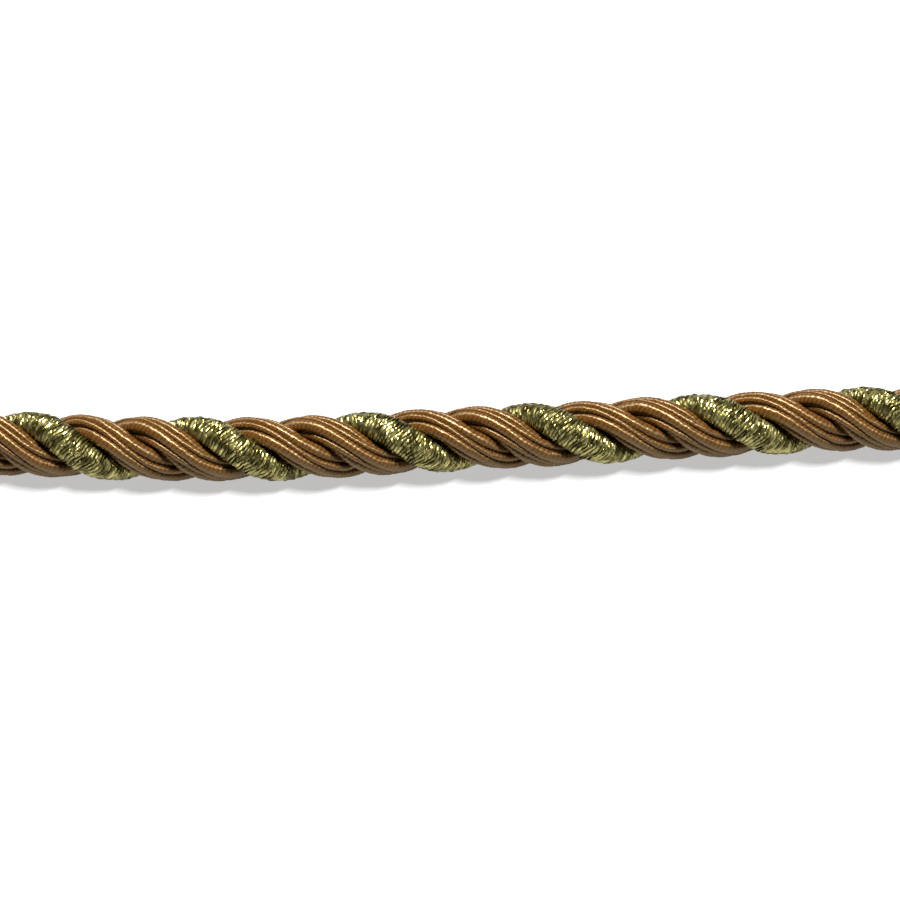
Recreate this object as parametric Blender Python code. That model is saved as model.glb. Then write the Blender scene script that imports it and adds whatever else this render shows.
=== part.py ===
"""Decorative twisted cord, a cut length lying on a surface.

Two satin strands and one metallic strand are laid round each other with a right-hand twist.
Each satin strand is a bundle of six gimps whose rounded backs show as ridges along it, and
the metallic strand is smooth and full. The cord lies in a slight lazy bend, flattened a little
where it touches the surface, and both ends are cut square.

Units are metres, +Z is up and the surface is z = 0. The origin is under the middle of the cord.
"""
import math

import bmesh
import bpy

MM = 0.001

# Driving dimensions of the cord
CORD_RADIUS = 3.5 * MM
LAY = 18.08 * MM              # length of one full turn of a strand
HELIX_RADIUS = 1.82 * MM      # from the cord's centre line to a strand's
STRAND_GAP = 0.36 * MM        # left between neighbours, measured square to the cord
STRAND_WIDTH = 4.3 * MM       # across the cord's slanting cut, before the neighbours press on it
FLATTENED = 0.3 * MM          # how far the underside is pressed flat by lying on the surface
CUT_LENGTH = 120.0 * MM

# Turn of the whole pattern between the photograph's line of sight and the vertical
PATTERN_TURN = math.radians(45)

# Fineness of the solids
STATION_STEP = 0.9 * MM
METALLIC_SIDES = 16
POINTS_PER_GIMP = 4
SHARP_ANGLE = math.radians(60)
SLOPE_REACH = 0.5 * MM        # to either side of x where the route's slope is measured
HALVINGS = 40                 # of the search for a strand's turn at x

# Gimps of a satin strand: how many, how far they turn for each turn of their strand, and how
# much of the strand's radius the outline has at a groove, on a flank, on a back and on a flank
GIMPS = 6
GIMP_TWIST = 0.5
GIMP_PROFILE = (0.84, 0.955, 1.0, 0.955)

# Route of the centre line, chosen by hand: every 8 mm along X, the sideways offset in mm
ROUTE_STEP = 8.0 * MM
ROUTE_OFFSETS = (
    -1.30, -1.30, -1.70, -2.10, -2.35, -2.25, -1.85, -1.15,
    -0.55, -0.05, 0.70, 1.20, 1.85, 2.25, 2.35, 2.35,
)

# Strands in their order round the cord: name, where each turn of it crests along the cord's far
# edge in mm along X, where its first gimp starts, colour, metallic value and roughness
STRANDS = (
    ("metallic_strand", (-45.0, -27.5, -9.4, 8.5, 26.6, 44.7), None, (0.27, 0.26, 0.09), 0.8, 0.35),
    ("satin_strand_a", (-39.6, -21.6, -3.0, 14.7, 33.6, 51.4), -2, (0.33, 0.15, 0.035), 0.2, 0.38),
    ("satin_strand_b", (-33.7, -15.4, 2.1, 20.4, 39.5, 57.3), 16, (0.33, 0.15, 0.035), 0.2, 0.38),
)
CREST_EVENNESS = 0.2          # how far the hand-read crests are evened out towards the lay

# Softness of a strand's outline where its own roundness meets its neighbours' press
CORNER_SHARPNESS = 8


def catmull_rom(values, place):
    """Value at a place counted in steps, on the smooth curve through evenly spaced values."""
    first = min(max(int(math.floor(place)), 0), len(values) - 2)
    u = place - first
    p1, p2 = values[first], values[first + 1]
    p0 = values[first - 1] if first > 0 else 2 * p1 - p2
    p3 = values[first + 2] if first + 2 < len(values) else 2 * p2 - p1
    slope = 0.5 * (p2 - p0)
    bend = p0 - 2.5 * p1 + 2 * p2 - 0.5 * p3
    rise = 1.5 * (p1 - p2) + 0.5 * (p3 - p0)
    return p1 + u * (slope + u * (bend + u * rise))


def route_offset(x):
    """Sideways offset of the centre line at x."""
    return MM * catmull_rom(ROUTE_OFFSETS, (x + CUT_LENGTH / 2) / ROUTE_STEP)


def route_frame(x):
    """Centre point at x and the level direction square to the cord there."""
    rise = route_offset(x + SLOPE_REACH) - route_offset(x - SLOPE_REACH)
    lean = math.atan(rise / (2 * SLOPE_REACH))
    centre = (x, route_offset(x), CORD_RADIUS - FLATTENED)
    return centre, (-math.sin(lean), math.cos(lean))


def turns_at(crests, x):
    """Turns made by a strand at x: 0 at its first listed crest, 1 at the next, and so on."""
    even = [0.0] * len(crests)
    middle = sum(c * MM for c in crests) / len(crests)
    for i in range(len(crests)):
        level = middle + (i - (len(crests) - 1) / 2) * LAY
        even[i] = crests[i] * MM * (1 - CREST_EVENNESS) + level * CREST_EVENNESS
    if x <= even[0]:
        return (x - even[0]) / LAY
    if x >= even[-1]:
        return len(even) - 1 + (x - even[-1]) / LAY
    low, high = 0.0, len(even) - 1.0
    for _ in range(HALVINGS):
        mid = 0.5 * (low + high)
        if catmull_rom(even, mid) < x:
            low = mid
        else:
            high = mid
    return 0.5 * (low + high)


def sector(order, x):
    """Centre angle and half width of a strand's share of the section at x, and its own turn."""
    count = len(STRANDS)
    own = 2 * math.pi * turns_at(STRANDS[order][1], x)
    before = 2 * math.pi * turns_at(STRANDS[order - 1][1], x)
    after = 2 * math.pi * turns_at(STRANDS[(order + 1) % count][1], x)
    if order == 0:
        before -= 2 * math.pi * round((before - own - 2 * math.pi / 3) / (2 * math.pi))
    if order == count - 1:
        after -= 2 * math.pi * round((after - own + 2 * math.pi / 3) / (2 * math.pi))
    upper = 0.5 * (own + before)
    lower = 0.5 * (own + after)
    return 0.5 * (upper + lower) + PATTERN_TURN, 0.5 * (upper - lower), own


def strand_reach(delta, half_width):
    """Distance from a strand's centre to its outline, at an angle from the outward direction."""
    outward = CORD_RADIUS - HELIX_RADIUS
    round_reach = 1 / math.hypot(math.cos(delta) / outward, math.sin(delta) / (STRAND_WIDTH / 2))
    total = round_reach ** -CORNER_SHARPNESS
    wall = HELIX_RADIUS * math.sin(half_width) - STRAND_GAP / 2
    for side in (1, -1):
        facing = math.cos(delta - side * (math.pi / 2 + half_width))
        if facing > 0:
            total += (wall / facing) ** -CORNER_SHARPNESS
    return total ** (-1 / CORNER_SHARPNESS)


def strand_section(order, x):
    """Ring of points round one strand at x, pressed flat where it would pass the surface."""
    gimp_start = STRANDS[order][2]
    angle, half_width, own = sector(order, x)
    centre, level = route_frame(x)
    sides = METALLIC_SIDES if gimp_start is None else GIMPS * POINTS_PER_GIMP
    first = angle
    if gimp_start is not None:
        first = math.radians(gimp_start) + PATTERN_TURN + GIMP_TWIST * own
    ring = []
    for i in range(sides):
        psi = first + 2 * math.pi * i / sides
        reach = strand_reach(psi - angle, half_width)
        if gimp_start is not None:
            reach *= GIMP_PROFILE[(i + POINTS_PER_GIMP // 2) % POINTS_PER_GIMP]
        side = HELIX_RADIUS * math.cos(angle) + reach * math.cos(psi)
        up = HELIX_RADIUS * math.sin(angle) + reach * math.sin(psi)
        ring.append((
            centre[0] + side * level[0],
            centre[1] + side * level[1],
            max(centre[2] + up, 0.0),
        ))
    return ring


def loft(name, rings):
    """Closed mesh through rings of equal count, with a flat cut at both ends."""
    bm = bmesh.new()
    rows = [[bm.verts.new(point) for point in ring] for ring in rings]
    for low, high in zip(rows, rows[1:]):
        for i in range(len(low)):
            bm.faces.new((low[i - 1], low[i], high[i], high[i - 1]))
    for row in (rows[0], rows[-1]):
        bm.faces.new(row)
    bmesh.ops.recalc_face_normals(bm, faces=bm.faces)
    mesh = bpy.data.meshes.new(name)
    bm.to_mesh(mesh)
    bm.free()
    return mesh


def strand_material(name, colour, metallic, roughness):
    """Plain finish of one strand."""
    material = bpy.data.materials.new(name)
    material.use_nodes = True
    shader = material.node_tree.nodes["Principled BSDF"]
    shader.inputs["Base Color"].default_value = (*colour, 1.0)
    shader.inputs["Metallic"].default_value = metallic
    shader.inputs["Roughness"].default_value = roughness
    return material


def add_strand(order, collection):
    """Model one strand over the whole cut length."""
    name, _, _, colour, metallic, roughness = STRANDS[order]
    steps = math.ceil(CUT_LENGTH / STATION_STEP)
    stations = [CUT_LENGTH * (i / steps - 0.5) for i in range(steps + 1)]
    mesh = loft(name, [strand_section(order, x) for x in stations])
    mesh.materials.append(strand_material(name, colour, metallic, roughness))
    mesh.shade_smooth()
    mesh.set_sharp_from_angle(angle=SHARP_ANGLE)
    strand = bpy.data.objects.new(name, mesh)
    collection.objects.link(strand)


def main():
    for old in list(bpy.data.objects):
        bpy.data.objects.remove(old, do_unlink=True)
    collection = bpy.data.collections.new("decorative_cord")
    bpy.context.scene.collection.children.link(collection)
    for order in range(len(STRANDS)):
        add_strand(order, collection)


main()
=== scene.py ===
"""Decorative twisted cord, dressed as the real one is made.

Each satin strand is a core with eight gimps round it, thick and thin in turn, and each gimp is
a core wound with satin floss. The metallic strand is a core wound with eight flat metallic
threads. The three strands are laid round each other with a right-hand twist, and both ends are
cut square.
"""

import math

import bmesh
import bpy
import numpy as np
from bpy.props import FloatProperty, FloatVectorProperty, IntProperty, PointerProperty
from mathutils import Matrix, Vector


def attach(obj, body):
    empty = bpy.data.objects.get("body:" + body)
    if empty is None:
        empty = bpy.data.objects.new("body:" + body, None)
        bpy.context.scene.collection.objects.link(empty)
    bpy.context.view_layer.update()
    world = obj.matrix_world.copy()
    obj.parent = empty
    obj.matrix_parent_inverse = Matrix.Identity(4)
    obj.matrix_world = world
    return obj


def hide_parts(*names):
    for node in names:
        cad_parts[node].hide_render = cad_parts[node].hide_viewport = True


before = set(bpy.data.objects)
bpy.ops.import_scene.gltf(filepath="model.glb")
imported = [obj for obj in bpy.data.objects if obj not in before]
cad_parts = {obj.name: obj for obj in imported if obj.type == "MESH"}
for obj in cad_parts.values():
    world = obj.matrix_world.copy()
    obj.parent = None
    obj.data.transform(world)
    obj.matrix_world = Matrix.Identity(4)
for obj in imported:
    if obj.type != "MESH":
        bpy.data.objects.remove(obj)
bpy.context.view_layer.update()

bl_info = {
    "name": "Twisted Decorative Cord",
    "version": (1, 0, 0),
    "blender": (4, 5, 0),
    "location": "View3D > Sidebar > Cord",
    "description": "Winds satin gimps and metallic threads and lays them as a twisted cord",
    "category": "Add Mesh",
}

MM = 0.001
UP = np.array((0.0, 0.0, 1.0))

# Shape of the cord, as its solids have it, but for the gimps: the solids show six equal ridges
CUT_LENGTH = 120.0 * MM
PATTERN_TURN = math.radians(45)
GIMPS = 8                     # thick and thin ones in turn
GIMP_TWIST = 0.25
THIN_HEIGHT = 0.93            # how far out a thin gimp stands, over a thick one
ROUTE_STEP = 8.0 * MM
ROUTE_OFFSETS = (
    -1.30, -1.30, -1.70, -2.10, -2.35, -2.25, -1.85, -1.15,
    -0.55, -0.05, 0.70, 1.20, 1.85, 2.25, 2.35, 2.35,
)
CREST_EVENNESS = 0.2
CORNER_SHARPNESS = 8

# Strands in their order round the cord: name, crests in mm along X, where the first gimp starts
STRANDS = (
    ("metallic_strand", (-45.0, -27.5, -9.4, 8.5, 26.6, 44.7), None),
    ("satin_strand_a", (-39.6, -21.6, -3.0, 14.7, 33.6, 51.4), 17.5),
    ("satin_strand_b", (-33.7, -15.4, 2.1, 20.4, 39.5, 57.3), 70.5),
)
METALLIC = 0
SATINS = (1, 2)

# Fineness of the wound surfaces
STATION_STEP = 0.2 * MM
OVERRUN = 1.5 * MM            # built past each cut before it is cut square
WRAP_ROWS = 4
GIMP_COLUMNS = 12
THREAD_STEPS_PER_TURN = 38
THREAD_COLUMNS = 6
CORE_COLUMNS = 12

# Where the photograph's frame is: its width in pixels, and how far a pixel reaches on the cord
PHOTO_WIDTH = 900
PIXEL = 0.1085 * MM

UV_NAME = "winding"


class CordSizes(bpy.types.PropertyGroup):
    """Sizes of the laid cord, as its solids have them"""
    cord_radius: FloatProperty(
        name="Cord radius", description="From the centre line to a strand's back",
        default=3.5 * MM, unit="LENGTH")
    lay: FloatProperty(
        name="Lay", description="Length of one full turn of a strand",
        default=18.08 * MM, unit="LENGTH")
    helix_radius: FloatProperty(
        name="Helix radius", description="From the cord's centre line to a strand's",
        default=1.82 * MM, unit="LENGTH")
    strand_width: FloatProperty(
        name="Strand width", description="Across the cord's slanting cut",
        default=4.3 * MM, unit="LENGTH")
    flattened: FloatProperty(
        name="Flattened", description="How far the underside is pressed flat",
        default=0.3 * MM, unit="LENGTH")
    strand_gap: FloatProperty(
        name="Strand gap", description="Left between neighbouring strands",
        default=0.06 * MM, unit="LENGTH")


class SatinLooks(bpy.types.PropertyGroup):
    """Sizes and colours of the satin gimps"""
    gimp_radius: FloatProperty(
        name="Gimp radius", description="Half the usual width of a gimp",
        default=0.55 * MM, unit="LENGTH")
    flatness: FloatProperty(
        name="Flatness", description="Thickness of a pressed gimp over its width",
        default=0.8, subtype="FACTOR", min=0.3, max=1.0)
    thin_share: FloatProperty(
        name="Thin share", description="Width of a thin gimp over that of it and a thick one",
        default=0.35, subtype="FACTOR", min=0.1, max=0.5)
    wrap_pitch: FloatProperty(
        name="Wrap pitch", description="From one wrap of floss to the next along a gimp",
        default=0.49 * MM, unit="LENGTH")
    wrap_starts: IntProperty(
        name="Wrap starts", description="How many ends of floss are wound side by side", default=2)
    wrap_roundness: FloatProperty(
        name="Wrap roundness", description="Slope of a wrap's back where it meets the next",
        default=math.radians(18), unit="ROTATION")
    back_colour: FloatVectorProperty(
        name="Back colour", description="Floss on a wrap's back",
        default=(0.125, 0.052, 0.011), subtype="COLOR", size=3)
    # Painted shade: a darker floss colour painted into the grooves between wraps, where shade falls, not a floss
    # of its own colour.
    groove_shade_colour: FloatVectorProperty(
        name="Groove colour", description="Floss between two wraps",
        default=(0.055, 0.018, 0.003), subtype="COLOR", size=3)
    core_colour: FloatVectorProperty(
        name="Core colour", description="Core yarn at the cut ends",
        default=(0.42, 0.33, 0.20), subtype="COLOR", size=3)


class MetallicLooks(bpy.types.PropertyGroup):
    """Sizes and colours of the metallic threads"""
    threads: IntProperty(
        name="Threads", description="Metallic threads wound side by side", default=8)
    lead: FloatProperty(
        name="Lead", description="How far a thread goes along the cord in one turn",
        default=2.4 * MM, unit="LENGTH")
    thread_width: FloatProperty(
        name="Thread width", description="Width of a flat metallic thread",
        default=0.40 * MM, unit="LENGTH")
    thread_thickness: FloatProperty(
        name="Thread thickness", description="Thickness of a metallic thread",
        default=0.20 * MM, unit="LENGTH")
    bright_colour: FloatVectorProperty(
        name="Bright colour", description="Green gold of the film",
        default=(0.50, 0.45, 0.17), subtype="COLOR", size=3)
    dull_colour: FloatVectorProperty(
        name="Dull colour", description="Olive yarn that carries the film",
        default=(0.085, 0.068, 0.016), subtype="COLOR", size=3)


class StageLooks(bpy.types.PropertyGroup):
    """Camera and light of the stage"""
    view_tilt: FloatProperty(
        name="View tilt", description="Angle of the line of sight from the vertical",
        default=PATTERN_TURN, unit="ROTATION")
    view_distance: FloatProperty(
        name="View distance", description="From the camera to the cord",
        default=0.45, unit="LENGTH")
    view_drop: FloatProperty(
        name="View drop", description="How far below the cord's middle the picture's centre is",
        default=18 * PIXEL, unit="LENGTH")


def catmull_rom(values, place):
    """Values at places counted in steps, on the smooth curve through evenly spaced values."""
    values = np.asarray(values, float)
    before = 2 * values[0] - values[1]
    after = 2 * values[-1] - values[-2]
    padded = np.concatenate(([before], values, [after]))
    first = np.clip(np.floor(place).astype(int), 0, len(values) - 2)
    u = place - first
    p0, p1, p2, p3 = (padded[first + i] for i in range(4))
    slope = 0.5 * (p2 - p0)
    bend = p0 - 2.5 * p1 + 2 * p2 - 0.5 * p3
    rise = 1.5 * (p1 - p2) + 0.5 * (p3 - p0)
    return p1 + u * (slope + u * (bend + u * rise))


def route_offset(x):
    """Sideways offset of the centre line at x."""
    return MM * catmull_rom(ROUTE_OFFSETS, (x + CUT_LENGTH / 2) / ROUTE_STEP)


def route(cord, x):
    """Centre points at x and the level directions square to the cord there."""
    reach = 0.5 * MM
    lean = np.arctan((route_offset(x + reach) - route_offset(x - reach)) / (2 * reach))
    height = np.full_like(x, cord.cord_radius - cord.flattened)
    centre = np.stack((x, route_offset(x), height), axis=-1)
    level = np.stack((-np.sin(lean), np.cos(lean), np.zeros_like(x)), axis=-1)
    return centre, level


def turns_at(cord, crests, x):
    """Turns made by a strand at x: 0 at its first listed crest, 1 at the next, and so on."""
    crests = np.array(crests) * MM
    level = crests.mean() + (np.arange(len(crests)) - (len(crests) - 1) / 2) * cord.lay
    even = crests * (1 - CREST_EVENNESS) + level * CREST_EVENNESS
    places = np.arange(0, len(even) - 1, 0.005)
    turns = np.interp(x, catmull_rom(even, places), places)
    turns = np.where(x < even[0], (x - even[0]) / cord.lay, turns)
    return np.where(x > even[-1], len(even) - 1 + (x - even[-1]) / cord.lay, turns)


def sector(cord, order, x):
    """Centre angle, half width and own turn of a strand's share of the cord's section at x."""
    full = 2 * math.pi
    own, before, after = (
        full * turns_at(cord, STRANDS[i % len(STRANDS)][1], x) for i in (order, order - 1, order + 1)
    )
    before = before - full * np.round((before - own - full / 3) / full)
    after = after - full * np.round((after - own + full / 3) / full)
    upper = 0.5 * (own + before)
    lower = 0.5 * (own + after)
    return 0.5 * (upper + lower) + PATTERN_TURN, 0.5 * (upper - lower), own


def strand_reach(cord, delta, half_width):
    """Distance from a strand's centre to its outline, at an angle from the outward direction."""
    outward = cord.cord_radius - cord.helix_radius
    across = cord.strand_width / 2
    total = np.hypot(np.cos(delta) / outward, np.sin(delta) / across) ** CORNER_SHARPNESS
    wall = cord.helix_radius * np.sin(half_width) - cord.strand_gap / 2
    for side in (1, -1):
        facing = np.maximum(np.cos(delta - side * (math.pi / 2 + half_width)), 0)
        total = total + (facing / wall) ** CORNER_SHARPNESS
    return total ** (-1 / CORNER_SHARPNESS)


def stations():
    """Places along X where courses are worked out, a little past both cuts."""
    reach = CUT_LENGTH / 2 + OVERRUN
    return np.linspace(-reach, reach, round(2 * reach / STATION_STEP) + 1)


def direction(level, psi):
    """Unit vectors at an angle psi up from the level direction, in the cord's section."""
    return np.cos(psi)[:, None] * level + np.sin(psi)[:, None] * UP


def unit(vectors):
    """The vectors at a length of one."""
    return vectors / np.linalg.norm(vectors, axis=-1, keepdims=True)


def tangents(points):
    """Unit vectors along a line of points."""
    return unit(np.gradient(points, axis=0))


def square_to(vectors, along):
    """What is left of vectors square to a unit direction."""
    return vectors - (vectors * along).sum(axis=-1, keepdims=True) * along


def lengths(points):
    """Length run along a line up to each of its points."""
    steps = np.linalg.norm(np.diff(points, axis=0), axis=1)
    return np.concatenate(([0.0], np.cumsum(steps)))


def read_along(table, run, s):
    """Rows of a table at lengths s, where run is the length at each row."""
    if table.ndim == 1:
        return np.interp(s, run, table)
    return np.stack([np.interp(s, run, column) for column in table.T], axis=-1)


def wobble(rng, wavelength, size, waves=6):
    """Smooth random function of a length, the sum of a few waves."""
    span = wavelength * (1 + 2 * rng.random(waves))
    start = 2 * math.pi * rng.random(waves)
    share = size * math.sqrt(2 / waves)
    return lambda s: share * sum(np.sin(2 * math.pi * s / w + p) for w, p in zip(span, start))


def above_surface(points):
    """The points, with what would pass the surface pressed flat on it."""
    points[:, 2] = np.maximum(points[:, 2], 0.01 * MM)
    return points


def rolled(rows, columns, uv_size, place):
    """A grid of quads rolled into a tube, as a bmesh.

    place gives the corners' positions from their rows and columns, and the values that the
    material reads there. The tube's seam is closed, and its ends are open.
    """
    bm = bmesh.new()
    bm.loops.layers.uv.new(UV_NAME)
    bmesh.ops.create_grid(bm, x_segments=rows, y_segments=columns, size=0.5, calc_uvs=True)
    mesh = bpy.data.meshes.new("rolled")
    bm.to_mesh(mesh)
    column, row = np.divmod(np.arange((rows + 1) * (columns + 1)), rows + 1)
    points, values = place(row.astype(float), column.astype(float))
    mesh.vertices.foreach_set("co", points.ravel())
    uvs = np.empty(2 * len(mesh.loops))
    layer = mesh.uv_layers[UV_NAME]
    layer.data.foreach_get("uv", uvs)
    along, across = uvs.reshape(-1, 2).T
    layer.data.foreach_set("uv", np.stack((across * uv_size[1], along * uv_size[0]), 1).ravel())
    for name, value in values.items():
        attribute = mesh.attributes.new(name, "FLOAT", "POINT")
        attribute.data.foreach_set("value", value)
    bm.clear()
    bm.from_mesh(mesh)
    bpy.data.meshes.remove(mesh)
    bmesh.ops.remove_doubles(bm, verts=bm.verts, dist=0.002 * MM)
    return bm


def cut_square(bm):
    """Cut both ends square to X and close them. Returns the new faces."""
    caps = []
    for side in (-1, 1):
        geometry = list(bm.verts) + list(bm.edges) + list(bm.faces)
        bmesh.ops.bisect_plane(
            bm, geom=geometry, dist=0.001 * MM, plane_co=(side * CUT_LENGTH / 2, 0, 0),
            plane_no=(side, 0, 0), clear_outer=True)
        edges = [e for e in bm.edges if e.is_boundary and e.verts[0].co.x * side > 0]
        caps += bmesh.ops.holes_fill(bm, edges=edges, sides=0)["faces"]
    bmesh.ops.recalc_face_normals(bm, faces=bm.faces)
    return caps


def finish_piece(name, bm, materials, smooth_below=math.radians(60)):
    """Turn a bmesh into a piece that rides on the cord's body."""
    mesh = bpy.data.meshes.new(name)
    bm.to_mesh(mesh)
    bm.free()
    for material in materials:
        mesh.materials.append(material)
    if smooth_below:
        mesh.shade_smooth()
        mesh.set_sharp_from_angle(angle=smooth_below)
    piece = bpy.data.objects.new(name, mesh)
    bpy.context.scene.collection.objects.link(piece)
    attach(piece, "root")
    return piece


def gimp_courses(cord, satin, order):
    """Where the gimps of a satin strand run: points, outward directions, half sizes."""
    x = stations()
    centre, level = route(cord, x)
    angle, half_width, own = sector(cord, order, x)
    middle = centre + cord.helix_radius * direction(level, angle)
    first = math.radians(STRANDS[order][2]) + PATTERN_TURN + GIMP_TWIST * own
    psi = [first + 2 * math.pi * i / GIMPS for i in range(GIMPS)]
    outward = [direction(level, p) for p in psi]
    reach = [
        strand_reach(cord, p - angle, half_width) * (1, THIN_HEIGHT)[i % 2] for i, p in enumerate(psi)
    ]
    share = (1 - satin.thin_share, satin.thin_share)
    thick = [np.full_like(x, satin.flatness * satin.gimp_radius) for _ in psi]
    for _ in range(3):
        points = [middle + (reach[i] - thick[i])[:, None] * outward[i] for i in range(GIMPS)]
        wide = []
        for i in range(GIMPS):
            along = tangents(points[i])
            gaps = [
                np.linalg.norm(square_to(points[i] - points[j % GIMPS], along), axis=1)
                for j in (i - 1, i + 1)
            ]
            wide.append(0.5 * share[i % 2] * (gaps[0] + gaps[1]))
        thick = [satin.flatness * w for w in wide]
    return list(zip(points, outward, thick, wide))


def wound_gimp(satin, course, rng):
    """One gimp with its wraps of floss, as a bmesh."""
    points, outward, thick, wide = course
    run = lengths(points)
    along = tangents(points)
    outward = unit(square_to(outward, along))
    step = satin.wrap_pitch / WRAP_ROWS
    rows_per_lead = WRAP_ROWS * satin.wrap_starts
    rows = int(run[-1] / step) + rows_per_lead
    radius = 0.5 * satin.wrap_pitch / math.sin(satin.wrap_roundness)
    depth = radius * (1 - math.cos(satin.wrap_roundness))
    shift = wobble(rng, 1.0 * MM, 0.035 * MM)
    slant = wobble(rng, 2.0 * MM, 0.05 * MM)
    bulge = wobble(rng, 0.9 * MM, 0.010 * MM)
    wraps = rows // WRAP_ROWS + satin.wrap_starts + 2
    heights = rng.uniform(0.65, 1.15, wraps)
    tones = rng.uniform(-1, 1, wraps)

    def place(row, column):
        turn = column / GIMP_COLUMNS
        phi = math.pi + 2 * math.pi * turn
        wrap = (row // WRAP_ROWS).astype(int)
        earlier = np.maximum(wrap - satin.wrap_starts, 0)
        even = np.clip((row - rows_per_lead * turn) * step, 0, run[-1])
        s = even + shift(even) + slant(even) * np.sin(phi)
        s = np.clip(np.where((even > 0) & (even < run[-1]), s, even), 0, run[-1])
        u = 2 * (row % WRAP_ROWS) / WRAP_ROWS - 1
        crest = (np.sqrt(radius ** 2 - (u * satin.wrap_pitch / 2) ** 2) - radius + depth) / depth
        swell = heights[wrap] * (1 - turn) + heights[earlier] * turn
        tone = tones[wrap] * (1 - turn) + tones[earlier] * turn
        lift = depth * (crest * swell - 1) + bulge(s)
        n = read_along(outward, run, s)
        b = np.cross(read_along(along, run, s), n)
        up = (read_along(thick, run, s) + lift) * np.cos(phi)
        side = (read_along(wide, run, s) + lift) * np.sin(phi)
        corners = read_along(points, run, s) + up[:, None] * n + side[:, None] * b
        return above_surface(corners), {"crest": crest, "tone": tone}

    girth = 2 * math.pi * satin.gimp_radius
    return rolled(rows, GIMP_COLUMNS, (rows * step / MM, girth / MM), place)


def core_in_section(cord, order, share):
    """The core of a strand: its outline shrunk to a share, as a bmesh."""
    x = stations()[::3]
    centre, level = route(cord, x)
    angle, half_width, _ = sector(cord, order, x)
    middle = centre + cord.helix_radius * direction(level, angle)
    rows = len(x) - 1

    def place(row, column):
        at = row.astype(int)
        psi = angle[at] + 2 * math.pi * column / CORE_COLUMNS
        reach = share * strand_reach(cord, psi - angle[at], half_width[at])
        corners = middle[at] + reach[:, None] * direction(level[at], psi)
        return above_surface(corners), {}

    return rolled(rows, CORE_COLUMNS, (CUT_LENGTH / MM, 2 * math.pi), place)


def metallic_thread(cord, looks, number, rng):
    """One flat metallic thread wound round its strand, as a bmesh."""
    x = stations()
    centre, level = route(cord, x)
    angle, half_width, _ = sector(cord, METALLIC, x)
    reach_x = x[-1]
    rows = round(2 * reach_x / looks.lead * THREAD_STEPS_PER_TURN)
    along_x = np.linspace(-reach_x, reach_x, rows + 1)
    psi = 2 * math.pi * (number / looks.threads - along_x / looks.lead)
    strand = tangents(centre + cord.helix_radius * direction(level, angle))
    lean = read_along(strand, x, along_x)
    along_x = along_x - 1.68 * MM * lean[:, 0] * (lean * direction(read_along(level, x, along_x), psi)).sum(axis=1)
    here_angle = np.interp(along_x, x, angle)
    here_level = read_along(level, x, along_x)
    middle = read_along(centre, x, along_x) + cord.helix_radius * direction(here_level, here_angle)
    reach = strand_reach(cord, psi - here_angle, np.interp(along_x, x, half_width))
    girth = 2 * math.pi * 1.7 * MM
    run = np.linspace(-reach_x, reach_x, rows + 1) / looks.lead * girth
    lift = wobble(rng, 2.0 * MM, 0.03 * MM)(run) - 0.5 * looks.thread_thickness
    points = middle + (reach + lift)[:, None] * direction(here_level, psi)
    along = tangents(points)
    n = unit(square_to(direction(here_level, psi), along))
    b = np.cross(along, n)
    roll = wobble(rng, 1.2 * MM, math.radians(22))(run) + rng.normal(0, math.radians(9), rows + 1)
    swell = 1 + wobble(rng, 0.8 * MM, 0.08)(run)
    flat_n = np.cos(roll)[:, None] * n + np.sin(roll)[:, None] * b
    flat_b = np.cos(roll)[:, None] * b - np.sin(roll)[:, None] * n
    tone = wobble(rng, 1.5 * MM, 0.5)(run) + rng.normal(0, 0.3, rows + 1)

    def place(row, column):
        at = row.astype(int)
        phi = 2 * math.pi * column / THREAD_COLUMNS
        up = 0.5 * looks.thread_thickness * np.sin(phi)
        side = 0.5 * looks.thread_width * swell[at] * np.cos(phi)
        corners = points[at] + up[:, None] * flat_n[at] + side[:, None] * flat_b[at]
        return above_surface(corners), {"tone": tone[at]}

    return rolled(rows, THREAD_COLUMNS, ((run[-1] - run[0]) / MM, looks.thread_width / MM), place)


def joined(meshes):
    """Several bmeshes as one."""
    whole = bmesh.new()
    for bm in meshes:
        part = bpy.data.meshes.new("part")
        bm.to_mesh(part)
        bm.free()
        whole.from_mesh(part)
        bpy.data.meshes.remove(part)
    return whole


def new_material(name):
    """A material with its nodes, its links and its shader."""
    material = bpy.data.materials.new(name)
    material.use_nodes = True
    tree = material.node_tree
    return material, tree, tree.nodes["Principled BSDF"]


def add_node(tree, kind, settings=None, **inputs):
    """A node with settings, and values or links on its inputs, named with _ for spaces."""
    node = tree.nodes.new("ShaderNode" + kind)
    for key, value in (settings or {}).items():
        setattr(node, key, value)
    for key, value in inputs.items():
        name = key.replace("_", " ")
        socket = node.inputs[int(key[1:])] if key[0] == "i" and key[1:].isdigit() else node.inputs[name]
        if isinstance(value, bpy.types.NodeSocket):
            tree.links.new(value, socket)
        else:
            socket.default_value = value
    return node


def blend_colours(tree, share, low, high, mode="MIX"):
    """A colour between two, by a share that is a number or a link."""
    mix = add_node(tree, "Mix", {"data_type": "RGBA", "blend_type": mode}, i0=share)
    for socket, value in ((mix.inputs[6], low), (mix.inputs[7], high)):
        if isinstance(value, bpy.types.NodeSocket):
            tree.links.new(value, socket)
        else:
            socket.default_value = (*value, 1.0)
    return mix.outputs[2]


def to_range(tree, value, low, high, out_low, out_high):
    """A value moved from one range to another."""
    node = add_node(
        tree, "MapRange", None, i0=value, i1=low, i2=high, i3=out_low, i4=out_high)
    return node.outputs[0]


def stretched_noise(tree, scale, detail=2.0):
    """Noise on the winding's own coordinates in mm, scaled across and along the floss."""
    uv = add_node(tree, "UVMap", {"uv_map": UV_NAME})
    mapping = add_node(tree, "Mapping", None, Vector=uv.outputs[0], Scale=(*scale, 1.0))
    return add_node(
        tree, "TexNoise", None, Vector=mapping.outputs[0], Scale=1.0, Detail=detail).outputs[0]


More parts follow.
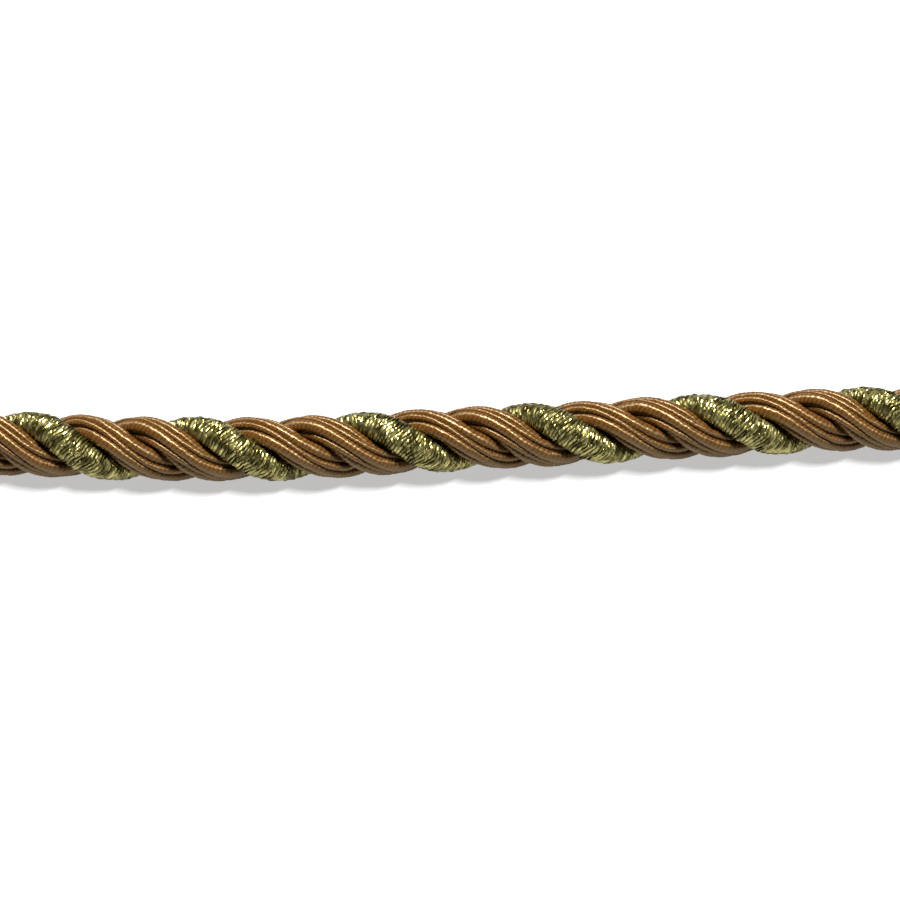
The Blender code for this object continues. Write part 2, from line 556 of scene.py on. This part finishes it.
def satin_material(satin):
    """Wound satin floss: fine filaments, painted shade in the grooves between wraps, and a sheen that runs across
    them.
    """
    material, tree, shader = new_material("satin_floss")
    crest = add_node(tree, "Attribute", {"attribute_name": "crest"}).outputs["Fac"]
    tone = add_node(tree, "Attribute", {"attribute_name": "tone"}).outputs["Fac"]
    filaments = stretched_noise(tree, (0.5, 26.0))
    # Painted shade: the floss goes from the back colour on a wrap's crest to the darker groove shade colour
    # towards the groove between wraps.
    body = blend_colours(
        tree, to_range(tree, crest, 0.0, 0.75, 0.0, 1.0), satin.groove_shade_colour, satin.back_colour)
    streaks = to_range(tree, filaments, 0.3, 0.7, 0.72, 1.18)
    shade = to_range(tree, tone, -1.0, 1.0, 0.86, 1.12)
    body = blend_colours(tree, 1.0, body, grey(tree, streaks), "MULTIPLY")
    body = blend_colours(tree, 1.0, body, grey(tree, shade), "MULTIPLY")
    tree.links.new(body, shader.inputs["Base Color"])
    shader.inputs["Metallic"].default_value = 0.0
    shader.inputs["Roughness"].default_value = 0.35
    shader.inputs["IOR"].default_value = 1.8
    shader.inputs["Specular Tint"].default_value = (1.0, 0.82, 0.45, 1.0)
    shader.inputs["Anisotropic"].default_value = 0.95
    shader.inputs["Anisotropic Rotation"].default_value = 0.25
    tangent = add_node(tree, "Tangent", {"direction_type": "UV_MAP", "uv_map": UV_NAME})
    tree.links.new(tangent.outputs[0], shader.inputs["Tangent"])
    place = add_node(tree, "TexCoord").outputs["Object"]
    lumps = add_node(tree, "TexNoise", None, Vector=place, Scale=2.6 / MM, Detail=1.0).outputs[0]
    uneven = add_node(tree, "Bump", None, Strength=1.0, Distance=0.05 * MM, Height=lumps)
    bump = add_node(
        tree, "Bump", None, Strength=0.5, Distance=0.02 * MM, Height=filaments,
        Normal=uneven.outputs[0])
    tree.links.new(bump.outputs[0], shader.inputs["Normal"])
    return material


def grey(tree, value):
    """A grey of a linked value."""
    return add_node(tree, "CombineColor", None, Red=value, Green=value, Blue=value).outputs[0]


def core_material(name, colour):
    """Plain matt core yarn."""
    material, tree, shader = new_material(name)
    grain = add_node(tree, "TexCoord")
    noise = add_node(
        tree, "TexNoise", None, Vector=grain.outputs["Object"], Scale=9.0 / MM, Detail=2.0).outputs[0]
    share = to_range(tree, noise, 0.35, 0.65, 0.0, 1.0)
    dark = [0.55 * c for c in colour]
    tree.links.new(blend_colours(tree, share, dark, tuple(colour)), shader.inputs["Base Color"])
    shader.inputs["Roughness"].default_value = 0.85
    return material


def metallic_material(looks):
    """Flat metallic film over an olive yarn: bright in patches, with a crinkled surface."""
    material, tree, shader = new_material("metallic_film")
    tone = add_node(tree, "Attribute", {"attribute_name": "tone"}).outputs["Fac"]
    crinkle = stretched_noise(tree, (3.0, 6.0), 3.0)
    share = to_range(tree, tone, -0.7, 0.9, 0.0, 1.0)
    body = blend_colours(tree, share, looks.dull_colour, looks.bright_colour)
    tree.links.new(body, shader.inputs["Base Color"])
    shader.inputs["Metallic"].default_value = 0.85
    shader.inputs["Roughness"].default_value = 0.3
    bump = add_node(tree, "Bump", None, Strength=0.6, Distance=0.03 * MM, Height=crinkle)
    tree.links.new(bump.outputs[0], shader.inputs["Normal"])
    return material


class CORD_OT_stage(bpy.types.Operator):
    """Set up the floor, the light and the camera"""
    bl_idname = "cord.stage"
    bl_label = "Set Up Stage"

    def execute(self, context):
        looks = context.scene.cord_stage
        view = Vector((0, -math.sin(looks.view_tilt), math.cos(looks.view_tilt)))
        upward = Vector((0, math.cos(looks.view_tilt), math.sin(looks.view_tilt)))
        target = Vector((0, 0, context.scene.cord_sizes.cord_radius)) - upward * looks.view_drop
        camera = bpy.data.cameras.new("camera")
        camera.sensor_width = 36
        camera.lens = camera.sensor_width * looks.view_distance / (PHOTO_WIDTH * PIXEL)
        camera.clip_start = 0.01
        holder = bpy.data.objects.new("camera", camera)
        holder.location = target + view * looks.view_distance
        holder.rotation_euler = (-view).to_track_quat("-Z", "Y").to_euler()
        context.scene.collection.objects.link(holder)
        context.scene.camera = holder
        self.floor(context)
        self.lamp(context, "key_light", math.radians(8), 0.8, (0.10, 0.3), 16.0)
        world = bpy.data.worlds.new("studio")
        world.use_nodes = True
        world.node_tree.nodes["Background"].inputs["Color"].default_value = (1, 1, 1, 1)
        world.node_tree.nodes["Background"].inputs["Strength"].default_value = 0.06
        context.scene.world = world
        context.scene.view_settings.view_transform = "Standard"
        return {"FINISHED"}

    def floor(self, context):
        """A plain pale floor."""
        bm = bmesh.new()
        bmesh.ops.create_grid(bm, x_segments=1, y_segments=1, size=1.0)
        mesh = bpy.data.meshes.new("floor")
        bm.to_mesh(mesh)
        bm.free()
        material, _, shader = new_material("pale_floor")
        shader.inputs["Base Color"].default_value = (0.3, 0.3, 0.3, 1)
        shader.inputs["Roughness"].default_value = 0.8
        shader.inputs["Emission Color"].default_value = (1, 1, 1, 1)
        shader.inputs["Emission Strength"].default_value = 0.5
        mesh.materials.append(material)
        floor = bpy.data.objects.new("floor", mesh)
        context.scene.collection.objects.link(floor)

    def lamp(self, context, name, tilt, distance, size, energy):
        """A soft light, tilted from overhead towards the far side."""
        light = bpy.data.lights.new(name, "AREA")
        light.shape = "RECTANGLE"
        light.size, light.size_y = size
        light.energy = energy
        towards = Vector((0, math.sin(tilt), math.cos(tilt)))
        holder = bpy.data.objects.new(name, light)
        holder.location = towards * distance
        holder.rotation_euler = (-towards).to_track_quat("-Z", "Y").to_euler()
        context.scene.collection.objects.link(holder)


class CORD_OT_satin_strands(bpy.types.Operator):
    """Wind the gimps of the two satin strands and lay them round their cores"""
    bl_idname = "cord.satin_strands"
    bl_label = "Wind Satin Strands"

    def execute(self, context):
        cord = context.scene.cord_sizes
        satin = context.scene.cord_satin
        floss = satin_material(satin)
        yarn = core_material("core_yarn", satin.core_colour)
        for order in SATINS:
            name = STRANDS[order][0]
            rng = np.random.default_rng(order)
            for number, course in enumerate(gimp_courses(cord, satin, order)):
                bm = wound_gimp(satin, course, rng)
                caps = cut_square(bm)
                bmesh.ops.inset_individual(bm, faces=caps, thickness=0.09 * MM, depth=0.0)
                for face in caps:
                    face.material_index = 1
                piece = finish_piece(f"{name}_gimp_{number + 1}", bm, (floss, yarn))
                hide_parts(name)
            bm = core_in_section(cord, order, 0.6)
            cut_square(bm)
            piece = finish_piece(f"{name}_core", bm, (yarn,))
            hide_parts(name)
        return {"FINISHED"}


class CORD_OT_metallic_strand(bpy.types.Operator):
    """Wind the metallic threads round their core"""
    bl_idname = "cord.metallic_strand"
    bl_label = "Wind Metallic Strand"

    def execute(self, context):
        cord = context.scene.cord_sizes
        looks = context.scene.cord_metallic
        film = metallic_material(looks)
        yarn = core_material("olive_yarn", looks.dull_colour)
        rng = np.random.default_rng(7)
        name = STRANDS[METALLIC][0]
        threads = [metallic_thread(cord, looks, i, rng) for i in range(looks.threads)]
        for number in range(2):
            bm = joined(threads[number::2])
            cut_square(bm)
            piece = finish_piece(f"{name}_threads_{number + 1}", bm, (film,), None)
            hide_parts(name)
        bm = core_in_section(cord, METALLIC, 0.9)
        cut_square(bm)
        core = finish_piece(f"{name}_core", bm, (yarn,))
        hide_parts(name)
        return {"FINISHED"}


class CORD_PT_panel(bpy.types.Panel):
    """Sizes, colours and steps of the twisted cord"""
    bl_idname = "CORD_PT_panel"
    bl_label = "Twisted Cord"
    bl_space_type = "VIEW_3D"
    bl_region_type = "UI"
    bl_category = "Cord"

    def draw(self, context):
        for group in (context.scene.cord_sizes, context.scene.cord_satin,
                      context.scene.cord_metallic, context.scene.cord_stage):
            box = self.layout.box()
            for name in group.__annotations__:
                box.prop(group, name)
        for operator in OPERATORS:
            self.layout.operator(operator.bl_idname)


GROUPS = {
    "cord_sizes": CordSizes,
    "cord_satin": SatinLooks,
    "cord_metallic": MetallicLooks,
    "cord_stage": StageLooks,
}
OPERATORS = (CORD_OT_stage, CORD_OT_satin_strands, CORD_OT_metallic_strand)


def register():
    for name, group in GROUPS.items():
        bpy.utils.register_class(group)
        setattr(bpy.types.Scene, name, PointerProperty(type=group))
    for operator in OPERATORS:
        bpy.utils.register_class(operator)
    bpy.utils.register_class(CORD_PT_panel)


def unregister():
    bpy.utils.unregister_class(CORD_PT_panel)
    for operator in reversed(OPERATORS):
        bpy.utils.unregister_class(operator)
    for name, group in GROUPS.items():
        delattr(bpy.types.Scene, name)
        bpy.utils.unregister_class(group)


def main():
    register()
    bpy.ops.cord.stage()
    bpy.ops.cord.satin_strands()
    bpy.ops.cord.metallic_strand()


if __name__ == "__main__":
    main()
